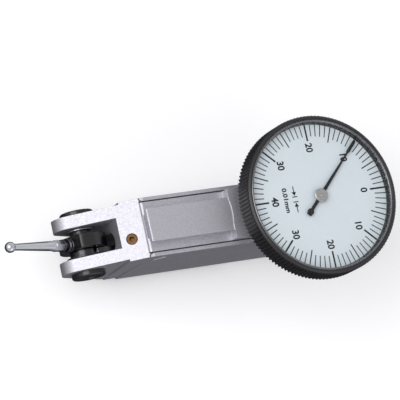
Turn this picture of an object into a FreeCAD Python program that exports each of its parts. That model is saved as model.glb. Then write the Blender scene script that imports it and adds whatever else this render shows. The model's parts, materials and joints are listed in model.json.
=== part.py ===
import FreeCAD, Part
import math
import os
from FreeCAD import Vector as V

os.makedirs("parts", exist_ok=True)

# ---------------------------------------------------------------- driving dimensions (mm)
# All parts are drawn about the dial: dial centre at 0,0 and the printed dial face at z = 0, the stylus
# pointing to -X.  Every part is moved at the end so that the origin lies under the middle of the
# whole instrument, on the plane it rests on.
BEZEL_R = 15.0            # outside radius of the bezel (30 mm bezel)
BEZEL_Z0, BEZEL_Z1 = -3.35, 1.55   # underside and lip of the bezel
KNURL_Z0, KNURL_Z1 = -3.15, 1.08     # height range of the straight knurl
KNURL_R0, KNURL_R1 = 14.68, 14.95    # root and tip of the knurl
KNURL_N = 132             # teeth of the straight knurl
DIAL_R = 13.9             # dial plate radius
DIAL_T = 0.4              # dial plate thickness
CRYSTAL_R = 13.76         # the crystal inside its thin metal ring
RING_R = 14.12            # seat of that ring in the bezel
GLASS_Z0, GLASS_Z1 = 1.0, 1.4

W = 5.5                   # half width of the main frame
RIM_Z = -6.85             # top rim of the frame
BOT_Z = -25.75            # bottom rim of the frame
X_END = 11.0              # rear end of the frame
X_SLOPE = -32.53          # where the sloping fork face starts
CAV_X0, CAV_X1 = -27.5, 6.5   # movement cavity
CAV_W = 3.7               # half width of the movement cavity
REC_W = 4.85              # half width of the cover recesses
COVER_W = 4.6             # half width of the covers
COVER_T = 1.5             # cover plate thickness
RAIL_H = 1.8              # dovetail height
RAIL_W = 3.05             # dovetail half width at the top
RAIL_ANG = 30.0           # undercut from the vertical (60 degree dovetail)
RAIL_END = -15.8          # end of the dovetail grooves on the front
RAIL_END_B = -9.5         # end of the dovetail grooves on the back

PX, PZ = -41.2, -16.0     # stylus pivot axis (along Y)
SLOPE_D = 4.2             # distance of the sloping face from the pivot axis
EAR_R = 3.4               # round end of the fork ears
EAR_A = 1.36              # how far its centre lies beyond the pivot, along the slope
EAR_W = 5.1               # half width over the ears
SLOT_W = 2.83             # half width of the slot between the ears
SLOT_END = -36.7          # closed end of the slot
PIVOT_HEAD_R, PIVOT_HEAD_T = 3.12, 1.0
PIN_R = 0.82              # trunnion of a pivot screw
BUSH_RI, BUSH_RO = 0.86, 1.25

STYLUS_UP = math.degrees(math.atan2(8.0, 16.98))   # stylus elevation above -X
STYLUS_L = 18.84          # pivot to ball centre
BALL_R = 1.0
DRUM_R = 4.4
DRUM_Y0, DRUM_Y1 = -1.1, 1.52    # the holder drum; a hub carries on to the spring washer

MS = 0.2                  # module of the sector and the cross pinion
Z_SECTOR, Z_CROSS = 402, 12
MC = 0.15                 # module of the crown wheel and the centre pinion
Z_CROWN, Z_CENTRE = 53, 12
R_SEC = MS * Z_SECTOR / 2.0
R_CROSS = MS * Z_CROSS / 2.0
R_CROWN = MC * Z_CROWN / 2.0
R_CENTRE = MC * Z_CENTRE / 2.0
CD = R_SEC + R_CROSS      # sector centre distance
CZ = PZ + math.sqrt(CD * CD - PX * PX)   # height of the cross shaft, which lies at x = 0
ALPHA = math.degrees(math.atan2(CZ - PZ, -PX))

POINTER_DEG = 45.0        # pointer direction about +Z at rest

OX, OZ = 22.1467, 27.55     # shift of every finished part, so that the frame sits under the middle


# ---------------------------------------------------------------- helpers
def box(x0, x1, y0, y1, z0, z1):
    return Part.makeBox(x1 - x0, y1 - y0, z1 - z0, V(x0, y0, z0))


def cyl(p, d, r, h):
    return Part.makeCylinder(r, h, V(*p), V(*d))


def tube(p, d, ri, ro, h):
    return cyl(p, d, ro, h).cut(cyl(p, d, ri, h))


def prism_y(pts, y0, y1):
    w = Part.makePolygon([V(x, y0, z) for x, z in pts] + [V(pts[0][0], y0, pts[0][1])])
    return Part.Face(w).extrude(V(0, y1 - y0, 0))


def prism_z(pts, z0, z1):
    w = Part.makePolygon([V(x, y, z0) for x, y in pts] + [V(pts[0][0], pts[0][1], z0)])
    return Part.Face(w).extrude(V(0, 0, z1 - z0))


def prism_x(pts, x0, x1):
    w = Part.makePolygon([V(x0, y, z) for y, z in pts] + [V(x0, pts[0][0], pts[0][1])])
    return Part.Face(w).extrude(V(x1 - x0, 0, 0))


def revolve_z(pts):
    w = Part.makePolygon([V(r, 0, z) for r, z in pts] + [V(pts[0][0], 0, pts[0][1])])
    return Part.Face(w).revolve(V(0, 0, 0), V(0, 0, 1), 360)


def wire_face(edges):
    return Part.Face(Part.Wire(Part.__sortEdges__(edges)))


def slot_y(x0, z0, x1, z1, r, y0, y1):
    """Round-ended slot in the XZ plane, extruded along Y."""
    dx, dz = x1 - x0, z1 - z0
    L = math.hypot(dx, dz)
    nx, nz = -dz / L * r, dx / L * r
    ux, uz = dx / L * r, dz / L * r
    e = [Part.makeLine(V(x0 + nx, y0, z0 + nz), V(x1 + nx, y0, z1 + nz)),
         Part.Arc(V(x1 + nx, y0, z1 + nz), V(x1 + ux, y0, z1 + uz), V(x1 - nx, y0, z1 - nz)).toShape(),
         Part.makeLine(V(x1 - nx, y0, z1 - nz), V(x0 - nx, y0, z0 - nz)),
         Part.Arc(V(x0 - nx, y0, z0 - nz), V(x0 - ux, y0, z0 - uz), V(x0 + nx, y0, z0 + nz)).toShape()]
    return wire_face(e).extrude(V(0, y1 - y0, 0))


def fuse(*s):
    r = s[0]
    for t in s[1:]:
        r = r.fuse(t)
    return r.removeSplitter()


def cut(a, *s):
    for t in s:
        a = a.cut(t)
    return a


def edges_where(shape, test):
    out = []
    for e in shape.Edges:
        try:
            m = e.valueAt((e.FirstParameter + e.LastParameter) / 2.0)
            if test(e, m):
                out.append(e)
        except Exception:
            pass
    return out


NODES = {}


def put(name, shape):
    shape = shape.copy()
    shape.translate(V(OX, 0, OZ))
    NODES[name] = shape
    sol = shape.Solids
    print("%-24s solids %d valid %s vol %.3f" % (name, len(sol), shape.isValid(), sum(s.Volume for s in sol)))
    Part.Compound(sol).exportStep("parts/%s.step" % name) if len(sol) > 1 else sol[0].exportStep("parts/%s.step" % name)


def S(d, n, y=0.0):
    """Point in the stylus frame: d along the stylus from the pivot, n square to it, upward."""
    return V(PX + d * SA[0] + n * SN[0], y, PZ + d * SA[1] + n * SN[1])


SA = (-math.cos(math.radians(STYLUS_UP)), math.sin(math.radians(STYLUS_UP)))
SN = (math.sin(math.radians(STYLUS_UP)), math.cos(math.radians(STYLUS_UP)))
SDIR = V(SA[0], 0, SA[1])
SNOR = V(SN[0], 0, SN[1])


def tangent(px, pz, cx, cz, r, side):
    """Tangent point on the circle c, r of the line from p; side is +1 or -1."""
    dx, dz = cx - px, cz - pz
    d = math.hypot(dx, dz)
    a = math.atan2(dz, dx) + side * math.asin(r / d)
    L = math.sqrt(d * d - r * r)
    return px + L * math.cos(a), pz + L * math.sin(a)


# ---------------------------------------------------------------- main frame: fork, block and side walls
TS = tangent(X_SLOPE, RIM_Z, PX, PZ, SLOPE_D, -1)
SLOPE = math.atan2(RIM_Z - TS[1], X_SLOPE - TS[0])
EX = PX - EAR_A * math.cos(SLOPE) - (SLOPE_D - EAR_R) * math.sin(SLOPE)
EZ = PZ - EAR_A * math.sin(SLOPE) + (SLOPE_D - EAR_R) * math.cos(SLOPE)
REC_X = X_SLOPE - 0.09     # front end of the recess for the dovetail cover
T1 = tangent(X_SLOPE, RIM_Z, EX, EZ, EAR_R, -1)
BX = -35.0
T2 = tangent(BX, BOT_Z, EX, EZ, EAR_R, 1)
y0 = -W
prof = [Part.makeLine(V(T1[0], y0, T1[1]), V(X_SLOPE, y0, RIM_Z)),
        Part.makeLine(V(X_SLOPE, y0, RIM_Z), V(X_END, y0, RIM_Z)),
        Part.makeLine(V(X_END, y0, RIM_Z), V(X_END, y0, BOT_Z)),
        Part.makeLine(V(X_END, y0, BOT_Z), V(BX, y0, BOT_Z)),
        Part.makeLine(V(BX, y0, BOT_Z), V(T2[0], y0, T2[1])),
        Part.Arc(V(T2[0], y0, T2[1]), V(EX - EAR_R, y0, EZ), V(T1[0], y0, T1[1])).toShape()]
frame = wire_face(prof).extrude(V(0, 2 * W, 0))
# rounded rear corners
rear = edges_where(frame, lambda e, m: abs(m.x - X_END) < 1e-6 and abs(abs(m.y) - W) < 1e-6 and abs(m.z - (RIM_Z + BOT_Z) / 2) < 0.1)
frame = frame.makeFillet(2.6, rear)
# long outer edges broken
frame = frame.makeChamfer(0.1, edges_where(frame, lambda e, m: abs(abs(m.y) - W) < 1e-6 and abs(m.z - BOT_Z) < 1e-6 and e.Length > 5))
# ears narrowed by a step on both sides, and a shallow facet behind the step that deepens downward
STEP_T, STEP_B = (-36.2, -4.0), (-34.5, -26.75)
FACET_T, FACET_B = (-32.3, -4.0), (-32.05, -26.75)
for s in (1, -1):
    stp = prism_y([STEP_T, STEP_B, (-60, STEP_B[1]), (-60, STEP_T[1])], min(s * EAR_W, s * 7), max(s * EAR_W, s * 7))
    frame = frame.cut(stp)
    blk = Part.makeBox(20, 10, 40, V(-10, -10, -20))
    blk.rotate(V(0, 0, 0), V(1, 0, 0), -math.degrees(math.atan(0.0165)))
    blk.rotate(V(0, 0, 0), V(0, 0, 1), -math.degrees(math.atan(0.02)))
    blk.translate(V(-32.2, W, -10.3))
    if s < 0:
        blk = blk.mirror(V(0, 0, 0), V(0, 1, 0))
    wedge = prism_y([STEP_T, STEP_B, FACET_B, FACET_T], min(s * 4.9, s * 7), max(s * 4.9, s * 7)).cut(blk)
    frame = frame.cut(wedge)
# slot between the ears
frame = frame.cut(box(-60, SLOT_END, -SLOT_W, SLOT_W, -40, 10))
# round-topped opening from the slot to the movement cavity
op = box(SLOT_END - 0.5, CAV_X0 + 0.5, -2.4, 0.9, -20.6, -11.5)
op = op.makeFillet(1.55, edges_where(op, lambda e, m: (abs(m.y - 0.9) < 1e-6 or abs(m.y + 2.4) < 1e-6) and abs(m.z + 11.5) < 1e-6))
frame = frame.cut(op)
# movement cavity, open at top and bottom, with recess steps for the covers
frame = frame.cut(box(CAV_X0, CAV_X1, -CAV_W, CAV_W, BOT_Z - 1, RIM_Z + 1))
frame = frame.cut(box(REC_X, -11.5, -REC_W, REC_W, RIM_Z - COVER_T, RIM_Z + 1))
frame = frame.cut(box(-30.5, 9.5, -REC_W, REC_W, BOT_Z - 1, BOT_Z + COVER_T))
# groove that carries the front of the recess out over both rims, round at its inner corner, and the
# bevel of the rim behind it
for s in (1, -1):
    for k in range(6):
        a0, a1 = math.radians(15 * k), math.radians(15 * (k + 1))
        q = [(-31.95 - r * math.sin(a), s * (5.4 - r * math.cos(a))) for r, a in ((0.69, a0), (0.69, a1), (0.4, a1), (0.4, a0))]
        frame = frame.cut(prism_z(q, RIM_Z - 0.75, RIM_Z + 1))
    frame = frame.cut(box(-32.64, -32.35, min(s * 5.38, s * 6), max(s * 5.38, s * 6), RIM_Z - 0.75, RIM_Z + 1))
    frame = frame.cut(prism_y([(-32.4, RIM_Z - 0.24), (-31.6, RIM_Z + 0.0), (-31.6, RIM_Z + 1), (-32.4, RIM_Z + 1)],
                              min(s * 4.9, s * 6), max(s * 4.9, s * 6)))
# short tool slot in the side wall
frame = frame.cut(slot_y(-30.3, -10.2, -28.85, -9.2, 0.6, -W - 1, -W + 1.3))
# pivot screw bores
frame = frame.cut(cyl((PX, -8, PZ), (0, 1, 0), 1.55, 16))
# set screw bore, square to the sloping face
SN_F = V(-math.sin(SLOPE), 0, math.cos(SLOPE))
SX = -34.87
SET_P = V(SX, -1.58, RIM_Z - math.tan(SLOPE) * (X_SLOPE - SX))
frame = frame.cut(cyl(tuple(SET_P + SN_F * 1.0), tuple(SN_F * -1), 1.05, 3.4))
# blind bores for the cross shaft jewels
for s in (1, -1):
    frame = frame.cut(cyl((0, s * (CAV_W - 0.2), CZ), (0, s, 0), 1.0, 1.2))
# stop pin bores
ARM_Z20 = PZ + 21.2 * math.tan(math.radians(ALPHA))
STOPS = [(-20.0, ARM_Z20 + 2.72), (-20.0, ARM_Z20 - 2.72)]
for sx, sz in STOPS:
    frame = frame.cut(cyl((sx, -CAV_W + 0.3, sz), (0, -1, 0), 0.5, 1.4))
# screw holes: case screws down into the walls, cover screws up into the blocks, dowels, inner bridge
CASE_SCREWS = [(-8.6, 4.6), (-8.6, -4.6), (7.6, 4.35), (7.6, -4.35)]
for cx, cy in CASE_SCREWS:
    frame = frame.cut(cyl((cx, cy, RIM_Z + 0.1), (0, 0, -1), 0.55, 3.1))
REAR_SCREWS = [(-28.95, 3.3), (-28.95, -3.3), (8.05, 3.3), (8.05, -3.3)]
for cx, cy in REAR_SCREWS:
    frame = frame.cut(cyl((cx, cy, BOT_Z + COVER_T - 0.1), (0, 0, 1), 0.55, 2.7))
DOWELS = [(-29.6, 3.0), (-29.6, -3.0)]
for cx, cy in DOWELS:
    frame = frame.cut(cyl((cx, cy, RIM_Z - COVER_T + 0.1), (0, 0, -1), 0.6, 1.9))
frame = frame.cut(cyl((0.5, -CAV_W + 0.1, -8.1), (0, -1, 0), 0.45, 1.35))
put("main_frame", frame)


# ---------------------------------------------------------------- covers with dovetails
def rail(x0, x1, ztop, zfloor):
    h = abs(ztop - zfloor)
    b = RAIL_W - h * math.tan(math.radians(RAIL_ANG))
    return prism_x([(-RAIL_W, ztop), (RAIL_W, ztop), (b, zfloor), (-b, zfloor)], x0, x1)


RT = RIM_Z + RAIL_H
RAIL_X0 = -32.28           # front end of the dovetail
plate = prism_y([(REC_X + 0.06, RIM_Z - COVER_T), (-11.62, RIM_Z - COVER_T), (-11.62, RIM_Z), (-31.98, RIM_Z), (-32.28, RIM_Z - 0.16),
                 (REC_X + 0.06, RIM_Z - 0.16)], -COVER_W, COVER_W)
blk = box(RAIL_END, -11.62, -COVER_W, COVER_W, RIM_Z - 0.2, RT + 0.17)
r1 = rail(RAIL_X0, RAIL_END + 0.5, RT, RIM_Z - 0.0)
cover = plate.fuse(blk).fuse(r1).removeSplitter()
# shallow arc-ended cut that finishes the dovetail's face
cover = cover.cut(cyl((-15.55 - 11.0, 0.4, RT), (0, 0, 1), 11.0, 1.0).common(box(-30, -10, -RAIL_W, RAIL_W, RT, RT + 1)))
cover = cover.makeChamfer(0.18, edges_where(cover, lambda e, m: abs(m.x - RAIL_X0) < 1e-6 and abs(m.z - RT) < 1e-6 and abs(m.y) < 0.1))
for cx, cy in DOWELS:
    cover = cover.cut(cyl((cx, cy, RIM_Z - COVER_T - 0.1), (0, 0, 1), 0.6, 1.1))
put("dovetail_cover", cover)

RB = BOT_Z - RAIL_H
plate = box(-30.3, 9.3, -COVER_W, COVER_W, BOT_Z, BOT_Z + COVER_T)
blk = box(RAIL_END_B, 9.3, -COVER_W, COVER_W, RB, BOT_Z + 0.2)
r2 = rail(-30.3, RAIL_END_B + 0.5, RB, BOT_Z)
rcover = plate.fuse(blk).fuse(r2).removeSplitter()
rcover = rcover.makeChamfer(0.2, edges_where(rcover, lambda e, m: abs(m.z - RB) < 1e-6 and (abs(m.x + 30.3) < 1e-6 or abs(m.x - 9.3) < 1e-6)))
for cx, cy in REAR_SCREWS:
    zface = BOT_Z if cx < 0 else RB
    rcover = rcover.cut(cyl((cx, cy, BOT_Z + COVER_T + 0.1), (0, 0, -1), 0.62, 5))
    rcover = rcover.cut(Part.makeCone(1.15, 0.62, 0.62, V(cx, cy, zface), V(0, 0, 1)))
put("rear_dovetail_cover", rcover)

sc = []
for cx, cy in REAR_SCREWS:
    zface = BOT_Z if cx < 0 else RB
    ztip = BOT_Z + COVER_T + 2.45
    s1 = Part.makeCone(1.12, 0.55, 0.62, V(cx, cy, zface), V(0, 0, 1)).fuse(cyl((cx, cy, zface + 0.62), (0, 0, 1), 0.55, ztip - zface - 0.62))
    s1 = s1.cut(box(cx - 1.3, cx + 1.3, cy - 0.14, cy + 0.14, zface - 0.1, zface + 0.3))
    sc.append(s1.removeSplitter())
put("rear_cover_screws", Part.Compound(sc))
put("cover_dowel_pins", Part.Compound([cyl((cx, cy, RIM_Z - COVER_T - 1.7), (0, 0, 1), 0.6, 2.65) for cx, cy in DOWELS]))


# ---------------------------------------------------------------- brass set screw in the fork face
def hexprism(p, d, af, h, rot=0.0):
    """Hexagonal prism of across-flats af from p along d."""
    d = V(*d)
    d.normalize()
    ref = V(0, 1, 0) if abs(d.y) < 0.9 else V(1, 0, 0)
    u = d.cross(ref)
    u.normalize()
    w = d.cross(u)
    R = af / math.sqrt(3)
    pts = []
    for k in range(6):
        a = math.radians(60 * k + rot)
        pts.append(V(*p) + u * (R * math.cos(a)) + w * (R * math.sin(a)))
    return Part.Face(Part.makePolygon(pts + [pts[0]])).extrude(d * h)


top = SET_P + SN_F * (-0.12)
ss = cyl(tuple(top), tuple(SN_F * -1), 1.05, 2.2)
ss = ss.makeChamfer(0.12, [e for e in ss.Edges if e.Curve.TypeId == "Part::GeomCircle" and (e.Curve.Center - top).Length < 0.01])
ss = ss.cut(hexprism(tuple(top + SN_F * 0.05), tuple(SN_F * -1), 0.9, 1.05))
put("set_screw", ss)

# ---------------------------------------------------------------- pivot screws, one each side
pv = []
for s in (1, -1):
    head = cyl((PX, s * EAR_W, PZ), (0, s, 0), PIVOT_HEAD_R, PIVOT_HEAD_T)
    head = head.makeChamfer(0.2, edges_where(head, lambda e, m: abs(abs(m.y) - EAR_W - PIVOT_HEAD_T) < 1e-6 and e.Length > 3))
    ys = s * (EAR_W + PIVOT_HEAD_T)
    # screwdriver slot and a shallow dished face
    head = head.cut(cyl((PX, ys, PZ), (0, -s, 0), 2.1, 0.18))
    head = head.cut(box(PX - 1.9, PX + 1.9, min(ys, ys - s * 0.55), max(ys, ys - s * 0.55), PZ - 0.32, PZ + 0.32))
    sh = cyl((PX, s * EAR_W, PZ), (0, -s, 0), 1.55, EAR_W - SLOT_W + 0.0)
    pin = cyl((PX, s * SLOT_W, PZ), (0, -s, 0), PIN_R, 1.25)
    pv.append(fuse(head, sh, pin))
put("pivot_screws", Part.Compound(pv))


# ---------------------------------------------------------------- dial case
boss = box(-11.5, X_END, -W, W, RIM_Z, -4.6)
boss = boss.makeFillet(2.6, edges_where(boss, lambda e, m: abs(m.x - X_END) < 1e-6 and abs(abs(m.y) - W) < 1e-6))
disc = cyl((0, 0, -4.88), (0, 0, 1), 13.3, 1.2)
disc = disc.makeChamfer(0.25, edges_where(disc, lambda e, m: abs(m.z + 4.88) < 1e-6 and e.Length > 3))
spig = tube((0, 0, -3.9), (0, 0, 1), 12.0, 12.95, 2.45)
case = fuse(boss, disc, spig)
case = case.cut(tube((0, 0, -2.6), (0, 0, 1), 12.7, 14, 0.4))
case = case.cut(box(-7.4, CAV_X1, -CAV_W, CAV_W, RIM_Z - 1, -3))
for cx, cy in CASE_SCREWS:
    case = case.cut(cyl((cx, cy, RIM_Z - 0.1), (0, 0, 1), 0.62, 4))
    case = case.cut(Part.makeCone(0.62, 1.15, 0.6, V(cx, cy, -3.68 - 0.6), V(0, 0, 1)))
BR_SCREWS = [(-1.4, 4.6), (1.4, -4.6)]
for cx, cy in BR_SCREWS:
    case = case.cut(cyl((cx, cy, -3.58), (0, 0, -1), 0.4, 1.2))
put("dial_case", case)

sc = []
for cx, cy in CASE_SCREWS:
    s1 = Part.makeCone(0.55, 1.12, 0.6, V(cx, cy, -4.28), V(0, 0, 1)).fuse(cyl((cx, cy, -9.6), (0, 0, 1), 0.55, 5.32))
    s1 = s1.cut(box(cx - 1.3, cx + 1.3, cy - 0.14, cy + 0.14, -3.98, -3.5))
    sc.append(s1.removeSplitter())
put("case_screws", Part.Compound(sc))

# spring clip that keeps the bezel on its spigot, and the friction spring under the bezel
ring = tube((0, 0, -2.56), (0, 0, 1), 12.72, 13.25, 0.32)
ring = ring.cut(box(12, 14, -1.2, 1.2, -3, -2))
put("bezel_retaining_ring", ring)
put("bezel_friction_spring", tube((0, 0, -1.45), (0, 0, 1), 12.1, 12.9, 0.1))

# ---------------------------------------------------------------- movement: bridges and jewels
BR_Z = -3.68
br = box(-2.2, 2.2, -5.3, 5.3, BR_Z, BR_Z + 0.9)
br = br.makeFillet(1.2, edges_where(br, lambda e, m: abs(abs(m.x) - 2.2) < 1e-6 and abs(abs(m.y) - 5.3) < 1e-6))
br = br.cut(cyl((0, 0, BR_Z - 1), (0, 0, 1), 0.9, 3))
for cx, cy in BR_SCREWS:
    br = br.cut(cyl((cx, cy, BR_Z - 0.1), (0, 0, 1), 0.45, 2))
br = br.cut(cyl((0, 3.1, BR_Z - 0.1), (0, 0, 1), 0.3, 2))
put("movement_bridge", br)
sc = []
for cx, cy in BR_SCREWS:
    s1 = cyl((cx, cy, BR_Z + 0.9), (0, 0, 1), 0.8, 0.35).fuse(cyl((cx, cy, BR_Z - 1.0), (0, 0, 1), 0.4, 1.95))
    s1 = s1.cut(box(cx - 1, cx + 1, cy - 0.11, cy + 0.11, BR_Z + 1.08, BR_Z + 2))
    sc.append(s1.removeSplitter())
put("bridge_screws", Part.Compound(sc))
put("upper_jewel", tube((0, 0, BR_Z), (0, 0, 1), 0.33, 0.9, 0.9))

LB0, LB1 = -10.1, -9.4
lb = box(-0.75, 1.75, -3.7, 0.55, LB0, LB1)
foot = box(-0.75, 1.75, -3.7, -2.95, LB0, -7.2)
lb = fuse(lb, foot)
lb = lb.cut(cyl((0, 0, LB0 - 1), (0, 0, 1), 0.45, 3))
lb = lb.cut(cyl((0.5, -4, -8.1), (0, 1, 0), 0.47, 2))
put("lower_bridge", lb)
s1 = cyl((0.5, -2.95, -8.1), (0, 1, 0), 0.75, 0.35).fuse(cyl((0.5, -2.9, -8.1), (0, -1, 0), 0.45, 2.0))
s1 = s1.cut(box(0.38, 0.62, -2.75, -2.5, -9, -7.2))
put("lower_bridge_screw", s1.removeSplitter())
put("lower_jewel", tube((0, 0, LB0), (0, 0, 1), 0.2, 0.45, LB1 - LB0))

put("cross_shaft_jewels", Part.Compound([tube((0, s * CAV_W, CZ), (0, s, 0), 0.33, 1.0, 1.0) for s in (1, -1)]))
put("stop_pins", Part.Compound([cyl((sx, -CAV_W - 1.0, sz), (0, 1, 0), 0.5, 3.9) for sx, sz in STOPS]))


# ---------------------------------------------------------------- hairspring, its stud and collet
def spiral_strip(r0, r1, turns, a0, t, z0, z1, n=26):
    N = int(n * turns)
    inner, outer = [], []
    for k in range(N + 1):
        u = k / N
        a = a0 + 2 * math.pi * turns * u
        r = r0 + (r1 - r0) * u
        inner.append(((r - t / 2) * math.cos(a), (r - t / 2) * math.sin(a)))
        outer.append(((r + t / 2) * math.cos(a), (r + t / 2) * math.sin(a)))
    return prism_z(inner + outer[::-1], z0, z1)


put("hairspring", spiral_strip(0.86, 2.765, 3.25, 0.0, 0.07, -5.25, -4.97))
put("hairspring_stud", cyl((0, 3.1, -5.4), (0, 0, 1), 0.3, BR_Z + 0.9 + 5.4))
put("hairspring_collet", tube((0, 0, -5.4), (0, 0, 1), 0.35, 0.78, 0.6))


# ---------------------------------------------------------------- pointer body
arb = fuse(cyl((0, 0, -9.95), (0, 0, 1), 0.17, 0.7), cyl((0, 0, -9.3), (0, 0, 1), 0.35, 5.55), cyl((0, 0, -3.8), (0, 0, 1), 0.3, 4.72))
put("pointer_arbor", arb)


def gear_pts(cx, cy, z, rr, rt, tr, tt, phase):
    """Outline of a gear with straight-flanked teeth: root and tip radii, tooth widths there, degrees."""
    pts = []
    for k in range(z):
        a = math.radians(phase + 360.0 * k / z)
        hr, ht = tr / 2.0 / rr, tt / 2.0 / rt
        for r, o in ((rr, -hr), (rt, -ht), (rt, ht), (rr, hr)):
            pts.append((cx + r * math.cos(a + o), cy + r * math.sin(a + o)))
    return pts


cp = prism_z(gear_pts(0, 0, Z_CENTRE, R_CENTRE - 0.2, R_CENTRE + 0.13, 0.2, 0.09, 90.0), -8.42, -7.5)
cp = cp.cut(cyl((0, 0, -10), (0, 0, 1), 0.35, 5))
put("centre_pinion", cp)

# pointer: needle with a flat paddle end, tail and small flared counterweight
half = [(-4.65, 0.42), (-4.0, 0.61), (-3.55, 0.55), (-3.35, 0.3), (-1.0, 0.31), (1.0, 0.34), (2.0, 0.31), (5.0, 0.25), (7.5, 0.19), (10.2, 0.16),
        (10.55, 0.31), (12.8, 0.29), (13.1, 0.18)]
pts = half + [(x, -y) for x, y in half[::-1]]
ca, sa = math.cos(math.radians(POINTER_DEG)), math.sin(math.radians(POINTER_DEG))
pts = [(x * ca - y * sa, x * sa + y * ca) for x, y in pts]
ptr = prism_z(pts, 0.4, 0.55).fuse(cyl((0, 0, 0.4), (0, 0, 1), 0.95, 0.15)).removeSplitter()
ptr = ptr.cut(cyl((0, 0, 0), (0, 0, 1), 0.5, 1))
put("pointer", ptr)
bos = cyl((0, 0, 0.55), (0, 0, 1), 1.28, 0.3)
bos = bos.makeChamfer(0.1, edges_where(bos, lambda e, m: abs(m.z - 0.85) < 1e-6 and e.Length > 2))
bos = fuse(bos, cyl((0, 0, 0.12), (0, 0, 1), 0.5, 0.5)).cut(cyl((0, 0, 0), (0, 0, 1), 0.3, 2))
put("pointer_boss", bos)

# ---------------------------------------------------------------- cross shaft, its pinion and the crown wheel
cs = fuse(cyl((0, -3.6, CZ), (0, 1, 0), 0.4, 7.2), cyl((0, -4.6, CZ), (0, 1, 0), 0.3, 9.2))
put("cross_shaft", cs)


def gear_y(cx, cz, z, rr, rt, tr, tt, phase, y0, y1):
    return prism_y(gear_pts(cx, cz, z, rr, rt, tr, tt, phase), y0, y1)


xp = gear_y(0, CZ, Z_CROSS, R_CROSS - 0.25, R_CROSS + 0.16, 0.27, 0.12, 180.0 + ALPHA, -2.75, -0.85)
xp = xp.cut(cyl((0, -4, CZ), (0, 1, 0), 0.4, 8))
put("cross_pinion", xp)

cg = gear_y(0, CZ, Z_CROWN, 3.42, 4.3, 0.15, 0.19, 90.0 + 180.0 / Z_CROWN, 0.79, 1.16)
cg = cg.fuse(cyl((0, 1.14, CZ), (0, 1, 0), 4.3, 0.66)).fuse(cyl((0, 1.6, CZ), (0, 1, 0), 1.3, 1.2)).removeSplitter()
cg = cg.cut(cyl((0, -1, CZ), (0, 1, 0), 0.4, 6))
for k in range(5):
    a = math.radians(72 * k)
    cg = cg.cut(cyl((2.15 * math.cos(a), 0.5, CZ + 2.15 * math.sin(a)), (0, 1, 0), 0.7, 2))
put("crown_gear", cg)

# ---------------------------------------------------------------- sector lever and its bushing
LY0, LY1 = -2.1, -1.2
pitch = 360.0 / Z_SECTOR
NT = 9
al = math.radians(ALPHA)


def arm(r, h):
    return (PX + r * math.cos(al) - h * math.sin(al), PZ + r * math.sin(al) + h * math.cos(al))


sect = []
for k in range(-int(NT / 2) - 1, int(NT / 2) + 1):
    a = math.radians(ALPHA + (k + 0.5) * pitch)
    rr, rt = R_SEC - 0.25, R_SEC + 0.14
    hr, ht = 0.32 / 2 / rr, 0.13 / 2 / rt
    for r, o in ((rr, -hr), (rt, -ht), (rt, ht), (rr, hr)):
        sect.append((PX + r * math.cos(a + o), PZ + r * math.sin(a + o)))
lowpts = [arm(2.0, -2.1), arm(9.0, -1.9), arm(33.0, -1.25), arm(36.6, -2.9)]
uppts = [arm(36.6, 2.9), arm(33.0, 1.25), arm(9.0, 1.9), arm(2.0, 2.1)]
lev = prism_y(lowpts + sect + uppts, LY0, LY1)
lev = lev.fuse(cyl((PX, LY0, PZ), (0, 1, 0), 2.6, LY1 - LY0)).removeSplitter()
lev = lev.cut(cyl((PX, -5, PZ), (0, 1, 0), BUSH_RO, 10))
for r, h in ((14.0, 0.85), (18.5, 0.8), (27.0, 0.7)):
    x, z = arm(r, 0)
    lev = lev.cut(cyl((x, -5, z), (0, 1, 0), h, 10))
put("sector_lever", lev)
put("lever_bushing", tube((PX, -2.78, PZ), (0, 1, 0), BUSH_RI, BUSH_RO, 5.56))

# ---------------------------------------------------------------- stylus holder, clutch parts and stylus
FLAT_D = 3.4              # flat of the drum that carries the sleeve
HEX0, HEX1 = 5.55, 7.6    # ends of the stylus hexagon, from the pivot
drum = cyl((PX, DRUM_Y0, PZ), (0, 1, 0), DRUM_R, DRUM_Y1 - DRUM_Y0)
drum = drum.makeChamfer(0.12, edges_where(drum, lambda e, m: e.Length > 20))
hub = cyl((PX, DRUM_Y1 - 0.1, PZ), (0, 1, 0), 1.95, 2.4 - DRUM_Y1 + 0.1)


def half_space(d0, ang):
    """Block on the far side of a plane square to the stylus direction turned by ang, at distance d0."""
    a = math.radians(ang)
    u = SDIR * math.cos(a) + SNOR * math.sin(a)
    w = SNOR * math.cos(a) - SDIR * math.sin(a)
    p = V(PX, 0, PZ) + u * d0
    c = [p + w * 9, p - w * 9, p - w * 9 + u * 9, p + w * 9 + u * 9]
    return prism_y([(q.x, q.z) for q in c], -6, 6)


drum = drum.cut(half_space(FLAT_D, 0)).fuse(hub).removeSplitter()
drum = drum.cut(cyl((PX, -5, PZ), (0, 1, 0), 1.3, 10))
p0 = S(1.62, 0)
drum = drum.cut(cyl(tuple(p0), tuple(SDIR), 0.8, 4))
drum = drum.makeFillet(0.35, edges_where(drum, lambda e, m: abs(m.y - DRUM_Y1) < 1e-6 and 11.5 < e.Length < 13.0))
put("stylus_holder", drum)
fd = tube((PX, -2.72, PZ), (0, 1, 0), 1.3, 3.3, 0.5)
fd = fd.makeChamfer(0.15, edges_where(fd, lambda e, m: abs(m.y + 2.72) < 1e-6 and e.Length > 20))
put("friction_disc", fd)
put("friction_spring_washer", tube((PX, 2.46, PZ), (0, 1, 0), 1.3, 2.7, 0.2))

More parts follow.
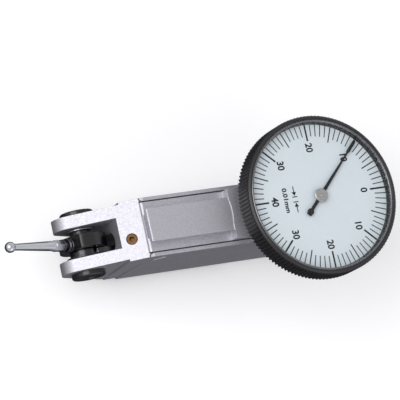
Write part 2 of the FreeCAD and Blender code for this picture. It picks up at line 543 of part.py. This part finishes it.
# ribbed sleeve between holder and stylus
prof = [(FLAT_D, 0.8), (FLAT_D, 1.3), (FLAT_D + 0.28, 1.3), (FLAT_D + 0.38, 1.12), (FLAT_D + 0.46, 1.12), (FLAT_D + 0.56, 1.27), (FLAT_D + 0.86, 1.27),
        (FLAT_D + 0.98, 1.08), (FLAT_D + 1.5, 1.08), (FLAT_D + 1.56, 1.14), (HEX0 - 0.1, 1.14), (HEX0, 1.04), (HEX0, 0.8)]
w = Part.makePolygon([S(d, r) for d, r in prof] + [S(*prof[0])])
sl = Part.Face(w).revolve(V(PX, 0, PZ), SDIR, 360)
put("stylus_sleeve", sl)

prof = [(1.7, 0.0), (1.7, 0.8), (HEX0, 0.8), (HEX0, 0.9), (HEX1, 0.9), (HEX1 + 0.2, 0.94), (17.9, 0.60), (STYLUS_L - 0.55, 0.52), (STYLUS_L - 0.55, 0.0)]
w = Part.makePolygon([S(d, r) for d, r in prof] + [S(*prof[0])])
sh = Part.Face(w).revolve(V(PX, 0, PZ), SDIR, 360)
hx = hexprism(tuple(S(HEX0, 0)), tuple(SDIR), 1.92, HEX1 - HEX0)
hx = hx.common(Part.makeCone(0.86, 1.16, 0.3, S(HEX0, 0), SDIR).fuse(cyl(tuple(S(HEX0 + 0.3, 0)), tuple(SDIR), 1.16, HEX1 - HEX0 - 0.3)))
sh = sh.fuse(hx).removeSplitter()
ball = Part.makeSphere(BALL_R, S(STYLUS_L, 0))
sh = sh.cut(ball)
put("stylus_shank", sh)
put("stylus_ball", ball)

# ---------------------------------------------------------------- bezel body
kn = []
for k in range(KNURL_N):
    for r, o in ((KNURL_R1, -0.14), (KNURL_R1, 0.14), (KNURL_R0, 0.4), (KNURL_R0, 0.6)):
        a = 2 * math.pi * (k + o) / KNURL_N
        kn.append((r * math.cos(a), r * math.sin(a)))
band = prism_z(kn, KNURL_Z0, KNURL_Z1).cut(cyl((0, 0, -5), (0, 0, 1), 14.3, 8))
bz = revolve_z([(13.05, BEZEL_Z0), (14.4, BEZEL_Z0), (KNURL_R0, KNURL_Z0), (KNURL_R0, KNURL_Z1 + 0.1), (14.84, KNURL_Z1 + 0.16), (14.78, 1.36),
                (14.42, BEZEL_Z1), (14.2, BEZEL_Z1 - 0.02), (RING_R, BEZEL_Z1 - 0.08), (RING_R, GLASS_Z0), (13.95, GLASS_Z0), (13.95, -DIAL_T),
                (12.5, -DIAL_T), (12.5, -1.3), (13.05, -1.3), (13.05, -2.1), (13.35, -2.1), (13.35, -2.66), (13.05, -2.66)])
bz = bz.fuse(band).removeSplitter()
put("bezel", bz)
dp = cyl((0, 0, -DIAL_T), (0, 0, 1), DIAL_R, DIAL_T).cut(cyl((0, 0, -1), (0, 0, 1), 0.9, 2))
put("dial_plate", dp)
put("dial_retaining_ring", revolve_z([(13.48, 0.0), (13.92, 0.0), (13.92, GLASS_Z0), (13.78, GLASS_Z0), (13.48, 0.12)]))
put("crystal_ring", revolve_z([(CRYSTAL_R, GLASS_Z0), (RING_R, GLASS_Z0), (RING_R, 1.42), (14.02, 1.5), (13.84, 1.5), (CRYSTAL_R, 1.42)]))
put("crystal", cyl((0, 0, GLASS_Z0), (0, 0, 1), CRYSTAL_R, GLASS_Z1 - GLASS_Z0))

xs = [s.BoundBox for s in NODES.values()]
print("box", min(b.XMin for b in xs), max(b.XMax for b in xs), min(b.YMin for b in xs), max(b.YMax for b in xs), min(b.ZMin for b in xs), max(b.ZMax for b in xs))
print("sector ratio", Z_SECTOR / Z_CROSS, "crown ratio", Z_CROWN / Z_CENTRE, "cross shaft z", CZ + OZ, "alpha", ALPHA, "slope", math.degrees(SLOPE))
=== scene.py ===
"""Looks for the dial test indicator: printing on the dial, finishes, lights, floor and camera.

Metres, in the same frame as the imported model. The dial faces +Z, the stylus points to -X.
"""

import json
import math

import bmesh
import bpy
from mathutils import Matrix, Vector


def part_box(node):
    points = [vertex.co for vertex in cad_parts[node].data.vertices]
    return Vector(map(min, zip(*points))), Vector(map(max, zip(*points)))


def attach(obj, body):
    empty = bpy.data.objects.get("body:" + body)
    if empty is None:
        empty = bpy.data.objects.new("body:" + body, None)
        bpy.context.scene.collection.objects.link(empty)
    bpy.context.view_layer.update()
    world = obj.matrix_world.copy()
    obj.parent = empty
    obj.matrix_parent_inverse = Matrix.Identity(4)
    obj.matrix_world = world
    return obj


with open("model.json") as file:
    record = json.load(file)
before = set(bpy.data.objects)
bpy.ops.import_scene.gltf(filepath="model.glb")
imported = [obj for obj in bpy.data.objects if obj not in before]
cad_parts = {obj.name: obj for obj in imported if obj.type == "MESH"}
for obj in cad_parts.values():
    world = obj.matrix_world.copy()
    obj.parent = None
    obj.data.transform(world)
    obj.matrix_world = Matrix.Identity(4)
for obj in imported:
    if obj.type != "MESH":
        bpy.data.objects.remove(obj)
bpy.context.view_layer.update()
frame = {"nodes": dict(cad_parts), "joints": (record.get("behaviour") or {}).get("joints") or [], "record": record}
nodes = frame["nodes"]
MM = 0.001

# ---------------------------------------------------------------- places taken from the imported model
lo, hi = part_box("dial_plate")
DIAL_C = Vector(((lo.x + hi.x) / 2, (lo.y + hi.y) / 2, hi.z))  # middle of the dial's face
pivot = Vector(next(j for j in frame["joints"] if j["name"] == "lever_swing")["pos_m"])


# ---------------------------------------------------------------- node helpers
class Mat:
    """A node material with one Principled shader."""

    def __init__(self, name):
        self.m = bpy.data.materials.new(name)
        self.m.use_nodes = True
        self.t = self.m.node_tree
        self.t.nodes.clear()
        self.out = self.n("ShaderNodeOutputMaterial")
        self.p = self.n("ShaderNodeBsdfPrincipled")
        self.l(self.p.outputs[0], self.out.inputs[0])
        self.tc = self.n("ShaderNodeTexCoord")

    def n(self, kind, **props):
        node = self.t.nodes.new(kind)
        for k, v in props.items():
            setattr(node, k, v)
        return node

    def l(self, a, b):
        self.t.links.new(a, b)

    def set(self, **kw):
        for k, v in kw.items():
            self.p.inputs[k.replace("_", " ")].default_value = v
        return self

    def mapped(self, scale=(1, 1, 1), rot=(0, 0, 0), loc=(0, 0, 0)):
        mp = self.n("ShaderNodeMapping")
        self.l(self.tc.outputs["Object"], mp.inputs["Vector"])
        mp.inputs["Location"].default_value = loc
        mp.inputs["Rotation"].default_value = rot
        mp.inputs["Scale"].default_value = scale
        return mp.outputs[0]

    def noise(self, scale, detail=3.0, rough=0.55, vec=None, dist=0.0):
        t = self.n("ShaderNodeTexNoise")
        self.l(vec or self.tc.outputs["Object"], t.inputs["Vector"])
        t.inputs["Scale"].default_value = scale
        t.inputs["Detail"].default_value = detail
        t.inputs["Roughness"].default_value = rough
        t.inputs["Distortion"].default_value = dist
        return t.outputs["Fac"]

    def ramp(self, src, stops, interp="LINEAR"):
        r = self.n("ShaderNodeValToRGB")
        r.color_ramp.interpolation = interp
        e = r.color_ramp.elements
        while len(e) < len(stops):
            e.new(0.5)
        for i, (pos, col) in enumerate(stops):
            e[i].position = pos
            if isinstance(col, (int, float)):
                col = (col, col, col)
            e[i].color = (*col, 1.0)
        self.l(src, r.inputs[0])
        return r.outputs[0]

    def math(self, op, a, b=None, clamp=False):
        x = self.n("ShaderNodeMath", operation=op, use_clamp=clamp)
        for i, v in enumerate((a, b)):
            if v is None:
                continue
            if isinstance(v, (int, float)):
                x.inputs[i].default_value = v
            else:
                self.l(v, x.inputs[i])
        return x.outputs[0]

    def range(self, src, a, b, c, d, clamp=True):
        r = self.n("ShaderNodeMapRange", clamp=clamp)
        self.l(src, r.inputs[0])
        for i, v in enumerate((a, b, c, d)):
            r.inputs[i + 1].default_value = v
        return r.outputs[0]

    def mix(self, fac, a, b, blend="MIX"):
        x = self.n("ShaderNodeMix", data_type="RGBA", blend_type=blend)
        for sock, v in ((x.inputs[0], fac), (x.inputs[6], a), (x.inputs[7], b)):
            if isinstance(v, (int, float)):
                sock.default_value = v
            elif isinstance(v, tuple):
                sock.default_value = (*v, 1.0)
            else:
                self.l(v, sock)
        return x.outputs[2]

    def bump(self, height, strength, distance, prev=None):
        b = self.n("ShaderNodeBump")
        b.inputs["Strength"].default_value = strength
        b.inputs["Distance"].default_value = distance
        self.l(height, b.inputs["Height"])
        if prev is not None:
            self.l(prev, b.inputs["Normal"])
        return b.outputs[0]

    def edge(self, radius, lo_=0.02, hi_=0.25, samples=6):
        """0 on flat faces, towards 1 on sharp outer and inner edges."""
        bv = self.n("ShaderNodeBevel", samples=samples)
        bv.inputs["Radius"].default_value = radius
        geo = self.n("ShaderNodeNewGeometry")
        dot = self.n("ShaderNodeVectorMath", operation="DOT_PRODUCT")
        self.l(bv.outputs[0], dot.inputs[0])
        self.l(geo.outputs["Normal"], dot.inputs[1])
        inv = self.math("SUBTRACT", 1.0, dot.outputs["Value"])
        return self.range(inv, lo_, hi_, 0.0, 1.0), bv.outputs[0]

    def to(self, name, src):
        self.l(src, self.p.inputs[name])
        return self


# ---------------------------------------------------------------- materials
def satin_body():
    m = Mat("satin_chrome_body")
    fine = m.noise(5200.0, 3.0, 0.62)
    mid = m.noise(1500.0, 3.0, 0.6)
    cloud = m.noise(140.0, 2.0, 0.5)
    a = m.ramp(fine, [(0.34, (0.40, 0.39, 0.435)), (0.66, (0.74, 0.73, 0.775))])
    b = m.ramp(mid, [(0.30, (0.53, 0.52, 0.56)), (0.70, (0.63, 0.62, 0.665))])
    c = m.mix(0.45, a, b)
    c = m.mix(m.range(cloud, 0.35, 0.65, 0.0, 0.22), c, (0.57, 0.565, 0.60))
    e, rounded = m.edge(0.00007)
    c = m.mix(m.math("MULTIPLY", e, 0.4), c, (0.78, 0.78, 0.80))
    m.to("Base Color", c)
    rough = m.range(fine, 0.25, 0.75, 0.60, 0.50)
    rough = m.math("SUBTRACT", rough, m.math("MULTIPLY", e, 0.12))
    m.to("Roughness", rough)
    m.set(Metallic=1.0)
    m.to("Normal", m.bump(fine, 0.45, 0.00002, rounded))
    return m.m


def black_anodised(name, rough=(0.30, 0.42), edge_col=(0.16, 0.16, 0.165), base=0.018):
    m = Mat(name)
    fine = m.noise(4200.0, 3.0, 0.6)
    cloud = m.noise(260.0, 3.0, 0.55)
    c = m.ramp(fine, [(0.30, (base * 0.75, base * 0.75, base * 0.85)), (0.72, (base * 1.45, base * 1.4, base * 1.55))])
    c = m.mix(m.range(cloud, 0.35, 0.7, 0.0, 0.4), c, (base * 1.7, base * 1.65, base * 1.8))
    e, rounded = m.edge(0.00008, 0.03, 0.35)
    c = m.mix(m.math("MULTIPLY", e, 0.55), c, edge_col)
    m.to("Base Color", c)
    m.to("Roughness", m.range(fine, 0.25, 0.75, rough[1], rough[0]))
    m.set(Metallic=0.0, IOR=1.5, Coat_Weight=0.08, Coat_Roughness=0.25)
    m.to("Normal", m.bump(fine, 0.25, 0.00001, rounded))
    return m.m


def dial_enamel():
    m = Mat("dial_enamel")
    fine = m.noise(2600.0, 3.0, 0.55)
    cloud = m.noise(180.0, 2.0, 0.5)
    c = m.ramp(fine, [(0.3, (0.60, 0.675, 0.71)), (0.7, (0.63, 0.70, 0.735))])
    c = m.mix(m.range(cloud, 0.35, 0.65, 0.0, 0.35), c, (0.66, 0.715, 0.76))
    m.to("Base Color", c)
    m.to("Roughness", m.range(fine, 0.3, 0.7, 0.42, 0.52))
    m.set(Metallic=0.0, IOR=1.45)
    m.to("Normal", m.bump(fine, 0.12, 0.000008))
    return m.m


def ink():
    m = Mat("printing_ink")
    fine = m.noise(9000.0, 2.0, 0.5)
    m.to("Base Color", m.ramp(fine, [(0.3, (0.006, 0.008, 0.011)), (0.7, (0.016, 0.018, 0.024))]))
    m.to("Roughness", m.range(fine, 0.3, 0.7, 0.38, 0.55))
    m.set(Metallic=0.0, IOR=1.3)
    return m.m


def pointer_paint():
    m = Mat("pointer_black")
    fine = m.noise(7000.0, 3.0, 0.55)
    e, rounded = m.edge(0.00004, 0.03, 0.3)
    c = m.ramp(fine, [(0.3, (0.006, 0.007, 0.008)), (0.7, (0.015, 0.017, 0.018))])
    m.set(IOR=1.3)
    c = m.mix(m.math("MULTIPLY", e, 0.2), c, (0.08, 0.08, 0.08))
    m.to("Base Color", c)
    m.to("Roughness", m.range(fine, 0.3, 0.7, 0.34, 0.5))
    m.to("Normal", m.bump(fine, 0.2, 0.000006, rounded))
    return m.m


def radial(m, centre, scale_xy=1.0):
    """Distance from an axis along Z through centre, in metres."""
    v = m.mapped(loc=(-centre[0], -centre[1], -centre[2]))
    s = m.n("ShaderNodeSeparateXYZ")
    m.l(v, s.inputs[0])
    x2 = m.math("MULTIPLY", s.outputs[0], s.outputs[0])
    y2 = m.math("MULTIPLY", s.outputs[1], s.outputs[1])
    return m.math("SQRT", m.math("ADD", x2, y2))


def turned(name, base, dark, centre, pitch=0.00009, rough=(0.18, 0.34), metallic=1.0):
    """Metal faced on a lathe: fine rings round an axis along Z."""
    m = Mat(name)
    r = radial(m, centre)
    rings = m.math("SINE", m.math("MULTIPLY", r, 2 * math.pi / pitch))
    fine = m.noise(6000.0, 3.0, 0.6)
    both = m.math("ADD", m.math("MULTIPLY", rings, 0.25), fine)
    c = m.ramp(both, [(0.25, dark), (0.8, base)])
    e, rounded = m.edge(0.00006)
    c = m.mix(m.math("MULTIPLY", e, 0.6), c, tuple(min(1.0, x * 1.25) for x in base))
    m.to("Base Color", c)
    m.to("Roughness", m.range(fine, 0.25, 0.75, rough[1], rough[0]))
    m.set(Metallic=metallic)
    m.to("Normal", m.bump(both, 0.25, 0.000008, rounded))
    return m.m


def brushed(name, base, dark, rough=(0.2, 0.36), stretch=(1, 30, 30), scale=900.0, rot=(0, 0, 0), edge=0.6,
            bump=0.2, edge_radius=0.00008, edge_col=None):
    """Ground or drawn metal: fine lines along the object's local X, turned by rot."""
    m = Mat(name)
    v = m.mapped(scale=stretch, rot=rot)
    lines = m.noise(scale, 3.0, 0.6, vec=v)
    fine = m.noise(5000.0, 2.0, 0.5)
    both = m.math("ADD", m.math("MULTIPLY", lines, 0.7), m.math("MULTIPLY", fine, 0.3))
    c = m.ramp(both, [(0.32, dark), (0.68, base)])
    e, rounded = m.edge(edge_radius)
    c = m.mix(m.math("MULTIPLY", e, edge), c, edge_col or tuple(min(1.0, x * 1.3) for x in base))
    m.to("Base Color", c)
    m.to("Roughness", m.range(both, 0.3, 0.7, rough[1], rough[0]))
    m.set(Metallic=1.0)
    m.to("Normal", m.bump(both, bump, 0.000008, rounded))
    return m.m


def blackened(name, base=0.006, rough=(0.12, 0.26), edge_col=(0.16, 0.16, 0.17)):
    """Oiled black steel: glossy, with bare metal showing on the edges."""
    m = Mat(name)
    fine = m.noise(3600.0, 4.0, 0.62)
    smear = m.noise(700.0, 3.0, 0.6)
    c = m.ramp(fine, [(0.3, (base * 0.7, base * 0.7, base * 0.75)), (0.75, (base * 1.8, base * 1.8, base * 1.95))])
    e, rounded = m.edge(0.00007, 0.03, 0.3)
    c = m.mix(m.math("MULTIPLY", e, 0.4), c, edge_col)
    m.to("Base Color", c)
    m.to("Roughness", m.range(smear, 0.3, 0.7, rough[0], rough[1]))
    m.set(Metallic=0.0, IOR=1.5, Coat_Weight=0.1, Coat_Roughness=0.08)
    m.to("Normal", m.bump(fine, 0.2, 0.00001, rounded))
    return m.m


def clear_crystal():
    """Clear acrylic. Lamps and diffuse light pass straight through it."""
    m = Mat("clear_crystal")
    smear = m.noise(160.0, 3.0, 0.55)
    m.to("Roughness", m.range(smear, 0.35, 0.7, 0.0, 0.012))
    m.set(IOR=1.2, Transmission_Weight=1.0, Metallic=0.0)  # coated: hardly mirrors the room
    m.p.inputs["Base Color"].default_value = (1.0, 1.0, 1.0, 1.0)
    lp = m.n("ShaderNodeLightPath")
    tr = m.n("ShaderNodeBsdfTransparent")
    mx = m.n("ShaderNodeMixShader")
    f = m.math("MAXIMUM", lp.outputs["Is Shadow Ray"], lp.outputs["Is Diffuse Ray"])
    m.l(f, mx.inputs[0])
    m.l(m.p.outputs[0], mx.inputs[1])
    m.l(tr.outputs[0], mx.inputs[2])
    m.l(mx.outputs[0], m.out.inputs[0])
    return m.m


def ruby():
    m = Mat("ruby")
    fine = m.noise(3000.0, 2.0, 0.5)
    m.to("Base Color", m.ramp(fine, [(0.3, (0.42, 0.01, 0.05)), (0.7, (0.6, 0.02, 0.09))]))
    m.to("Roughness", m.range(fine, 0.3, 0.7, 0.05, 0.12))
    m.set(IOR=1.77, Coat_Weight=0.5, Coat_Roughness=0.03)
    return m.m


set_c = [(a + b) / 2 for a, b in zip(*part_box("set_screw"))]
M = {
    "satin_body": satin_body(),
    "black_bezel": black_anodised("black_anodised_bezel", (0.30, 0.42), (0.10, 0.10, 0.105), 0.009),
    "black_ring": black_anodised("black_ring", rough=(0.2, 0.32), edge_col=(0.06, 0.06, 0.065), base=0.008),
    "dial_face": dial_enamel(),
    "crystal": clear_crystal(),
    "pointer_black": pointer_paint(),
    "bright_boss": turned("turned_boss", (0.52, 0.515, 0.50), (0.36, 0.355, 0.34), DIAL_C, 0.00013, (0.28, 0.42)),
    "black_holder": blackened("blackened_holder"),
    "black_screws": blackened("blackened_pivot_screws", 0.007, (0.16, 0.3)),
    "bright_ring": turned("bright_crystal_ring", (0.26, 0.26, 0.27), (0.16, 0.16, 0.17), DIAL_C, 0.0001, (0.2, 0.34)),
    "brass_screw": turned("turned_brass", (0.135, 0.072, 0.032), (0.07, 0.038, 0.018), set_c, 0.00012, (0.3, 0.45)),
    "polished_stylus": brushed("polished_stylus_steel", (0.66, 0.67, 0.71), (0.52, 0.53, 0.57), (0.1, 0.2), (1, 18, 18), 700.0,
                               rot=(0, math.radians(25.2), 0), bump=0.08),
    "sleeve_metal": brushed("turned_sleeve", (0.10, 0.098, 0.115), (0.05, 0.05, 0.06), (0.2, 0.34), (24, 1, 1), 500.0,
                            rot=(0, math.radians(25.2), 0)),
    # The lever's edges are mixed fully to near-white over the dark steel: a painted highlight for the thin bright line
    # its top edge catches.
    "lever_steel": brushed("ground_lever_steel_painted_edge_highlight", (0.085, 0.086, 0.09), (0.04, 0.041, 0.044), (0.2, 0.34), edge=1.0, edge_col=(0.75, 0.76, 0.8)),
    "spring_steel": brushed("spring_steel", (0.44, 0.45, 0.48), (0.3, 0.31, 0.33)),
    "small_screws": brushed("screw_steel", (0.5, 0.5, 0.52), (0.34, 0.34, 0.36)),
    "movement_brass": brushed("movement_brass", (0.72, 0.53, 0.24), (0.55, 0.39, 0.16), (0.22, 0.36)),
    "arbor_steel": brushed("arbor_steel", (0.58, 0.58, 0.61), (0.42, 0.42, 0.45), (0.12, 0.24)),
    "ruby": ruby(),
}
slot_of = {s["node"]: s["material_slot"] for s in frame["record"]["subparts"]}
for name, o in nodes.items():
    m = M[slot_of[name]]
    if o.data.materials:
        for i in range(len(o.data.materials)):
            o.data.materials[i] = m
    else:
        o.data.materials.append(m)


# ---------------------------------------------------------------- printing on the dial
def add_mesh(name, bm, material, body):
    me = bpy.data.meshes.new(name)
    bm.to_mesh(me)
    bm.free()
    me.materials.append(material)
    o = bpy.data.objects.new(name, me)
    bpy.context.scene.collection.objects.link(o)
    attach(o, body)
    return o


def prism(bm, pts, z0, z1):
    """A closed prism over a flat outline given anticlockwise."""
    lo_ = [bm.verts.new((x, y, z0)) for x, y in pts]
    up_ = [bm.verts.new((x, y, z1)) for x, y in pts]
    n = len(pts)
    bm.faces.new(list(reversed(lo_)))
    bm.faces.new(up_)
    for i in range(n):
        j = (i + 1) % n
        bm.faces.new((lo_[i], lo_[j], up_[j], up_[i]))


INK_Z0 = DIAL_C.z + 0.001 * MM
INK_Z1 = DIAL_C.z + 0.012 * MM
INK = ink()


def scale_marks():
    bm = bmesh.new()
    r1 = 13.45 * MM
    for i in range(80):
        a = math.radians(4.5 * i)
        if i % 10 == 0:
            r0, w = 10.42 * MM, 0.33 * MM
        elif i % 5 == 0:
            r0, w = 10.46 * MM, 0.22 * MM
        else:
            r0, w = 11.25 * MM, 0.18 * MM
        c, s = math.cos(a), math.sin(a)
        pts = [(r0, -w / 2), (r1, -w / 2), (r1, w / 2), (r0, w / 2)]
        prism(bm, [(DIAL_C.x + x * c - y * s, DIAL_C.y + x * s + y * c) for x, y in pts], INK_Z0, INK_Z1)
    return add_mesh("dial_scale_marks", bm, INK, "bezel_body")


def lettering(name, items):
    """Flat letters with +X of the dial as their up side. items: text, (x, y) of the middle in mm, height in mm, width factor, extra weight."""
    out = bmesh.new()
    for text, (cx, cy), height, wide, weight in items:
        cu = bpy.data.curves.new("t", "FONT")
        cu.body = text
        cu.size = 1.0
        cu.offset = weight
        cu.resolution_u = 6
        cu.fill_mode = "FRONT"
        ob = bpy.data.objects.new("t", cu)
        bpy.context.scene.collection.objects.link(ob)
        dg = bpy.context.evaluated_depsgraph_get()
        me = bpy.data.meshes.new_from_object(ob.evaluated_get(dg))
        xs = [v.co.x for v in me.vertices]
        ys = [v.co.y for v in me.vertices]
        mx, my = (min(xs) + max(xs)) / 2, (min(ys) + max(ys)) / 2
        k = height * MM / (max(ys) - min(ys))
        one = bmesh.new()
        one.from_mesh(me)
        bmesh.ops.remove_doubles(one, verts=one.verts, dist=1e-5)
        bmesh.ops.dissolve_limit(one, angle_limit=0.01, verts=one.verts, edges=one.edges)
        bmesh.ops.recalc_face_normals(one, faces=one.faces)
        for v in one.verts:
            x, y = (v.co.x - mx) * k * wide, (v.co.y - my) * k
            v.co = (DIAL_C.x + cx * MM + y, DIAL_C.y + cy * MM - x, INK_Z1)
        bmesh.ops.recalc_face_normals(one, faces=one.faces)
        for f in one.faces:
            if f.normal.z < 0:
                f.normal_flip()
        ext = bmesh.ops.extrude_face_region(one, geom=list(one.faces), use_keep_orig=True)
        for g in ext["geom"]:
            if isinstance(g, bmesh.types.BMVert):
                g.co.z = INK_Z0
        bmesh.ops.recalc_face_normals(one, faces=one.faces)
        tmp = bpy.data.meshes.new("x")
        one.to_mesh(tmp)
        one.free()
        out.from_mesh(tmp)
        bpy.data.meshes.remove(tmp)
        bpy.data.meshes.remove(me)
        bpy.data.objects.remove(ob)
        bpy.data.curves.remove(cu)
    return add_mesh(name, out, INK, "bezel_body")


def range_arrows():
    """Two small arrows that point at each other, each against a short bar."""
    bm = bmesh.new()
    cx = -5.06
    for s in (1, -1):
        def q(pts):
            pts = [(DIAL_C.x + (cx + x) * MM, DIAL_C.y + s * y * MM) for x, y in pts]
            return pts if s > 0 else list(reversed(pts))

        prism(bm, q([(-0.09, 1.2), (0.09, 1.2), (0.09, 2.45), (-0.09, 2.45)]), INK_Z0, INK_Z1)
        prism(bm, q([(0.0, 0.64), (0.45, 1.38), (-0.45, 1.38)]), INK_Z0, INK_Z1)
        prism(bm, q([(-0.50, 0.38), (0.50, 0.38), (0.50, 0.57), (-0.50, 0.57)]), INK_Z0, INK_Z1)
    return add_mesh("dial_range_arrows", bm, INK, "bezel_body")


scale_marks()
NUM_R = 9.17
numerals = []
for a, t in ((0, "0"), (45, "10"), (90, "20"), (135, "30"), (180, "40"), (-135, "30"), (-90, "20"), (-45, "10")):
    numerals.append((t, (NUM_R * math.cos(math.radians(a)), NUM_R * math.sin(math.radians(a))), 1.42, 0.93, 0.030))
lettering("dial_numerals", numerals)
lettering("dial_graduation_value", [("0.01mm", (-6.9, 0.0), 0.95, 1.16, 0.036)])
range_arrows()

# ---------------------------------------------------------------- floor, light and camera
def floor():
    m = Mat("floor_pale")
    n = m.noise(14.0, 3.0, 0.5)
    m.to("Base Color", m.ramp(n, [(0.3, (0.90, 0.90, 0.90)), (0.7, (0.925, 0.925, 0.925))]))
    m.set(Roughness=0.85, Emission_Strength=0.17)
    m.p.inputs["Emission Color"].default_value = (1.0, 1.0, 1.0, 1.0)
    bm = bmesh.new()
    bmesh.ops.create_grid(bm, x_segments=8, y_segments=8, size=2.5)
    for v in bm.verts:
        v.co.z = -0.00002
    me = bpy.data.meshes.new("floor")
    bm.to_mesh(me)
    bm.free()
    me.materials.append(m.m)
    o = bpy.data.objects.new("floor", me)
    bpy.context.scene.collection.objects.link(o)
    o.visible_glossy = False  # polished parts mirror the dark room below, not the table
    return o


floor_o = floor()


def area(name, where, target, size, radiance, colour=(1, 1, 1), size_y=None):
    li = bpy.data.lights.new(name, "AREA")
    li.shape = "RECTANGLE"
    li.size = size
    li.size_y = size_y or size
    li.energy = radiance * math.pi * li.size * li.size_y
    li.color = colour
    o = bpy.data.objects.new(name, li)
    o.location = where
    d = Vector(target) - Vector(where)
    o.rotation_mode = "QUATERNION"
    o.rotation_quaternion = d.to_track_quat("-Z", "Y")
    bpy.context.scene.collection.objects.link(o)
    return o


MID = Vector((0.0, 0.0, 0.014))


def at(direction, dist):
    return MID + Vector(direction).normalized() * dist


area("key_softbox", at((-0.66, 0.10, 0.74), 0.50), MID, 0.36, 3.2)
area("fill_softbox", at((0.15, -0.85, 0.52), 0.60), MID, 0.40, 0.7)

world = bpy.data.worlds.new("studio")
bpy.context.scene.world = world
world.use_nodes = True
wt = world.node_tree
wt.nodes.clear()
wo = wt.nodes.new("ShaderNodeOutputWorld")
bg = wt.nodes.new("ShaderNodeBackground")
tc = wt.nodes.new("ShaderNodeTexCoord")
sp = wt.nodes.new("ShaderNodeSeparateXYZ")
rp = wt.nodes.new("ShaderNodeValToRGB")
wt.links.new(tc.outputs["Generated"], sp.inputs[0])
mr = wt.nodes.new("ShaderNodeMapRange")
mr.inputs[1].default_value = -1.0
mr.inputs[2].default_value = 1.0
wt.links.new(sp.outputs[2], mr.inputs[0])
wt.links.new(mr.outputs[0], rp.inputs[0])
e = rp.color_ramp.elements
e[0].position, e[0].color = 0.0, (0.03, 0.03, 0.035, 1)
e[1].position, e[1].color = 1.0, (0.60, 0.60, 0.62, 1)
y = e.new(0.34)
y.color = (0.15, 0.15, 0.165, 1)
x = e.new(0.5)
x.color = (0.85, 0.85, 0.86, 1)
wt.links.new(rp.outputs[0], bg.inputs[0])
bg.inputs[1].default_value = 1.0
wt.links.new(bg.outputs[0], wo.inputs[0])

cam_d = bpy.data.cameras.new("camera")
cam_d.sensor_fit = "HORIZONTAL"
cam_d.sensor_width = 36.0
cam_d.lens = 270.0
cam_d.clip_start, cam_d.clip_end = 0.01, 20.0
cam = bpy.data.objects.new("camera", cam_d)
right = Vector((0.8991057, -0.2107107, 0.3835335))
up = Vector((0.1231628, 0.9628252, 0.2402573))
back = Vector((-0.4198787, -0.1687796, 0.8917613))
rot = Matrix((right, up, back)).transposed().to_4x4()
cam.matrix_world = Matrix.Translation((-0.2275999, -0.088538, 0.507439)) @ rot
bpy.context.scene.collection.objects.link(cam)
bpy.context.scene.camera = cam

vs = bpy.context.scene.view_settings
vs.view_transform = "Standard"
vs.look = "None"
vs.exposure = 0.0
vs.gamma = 1.0
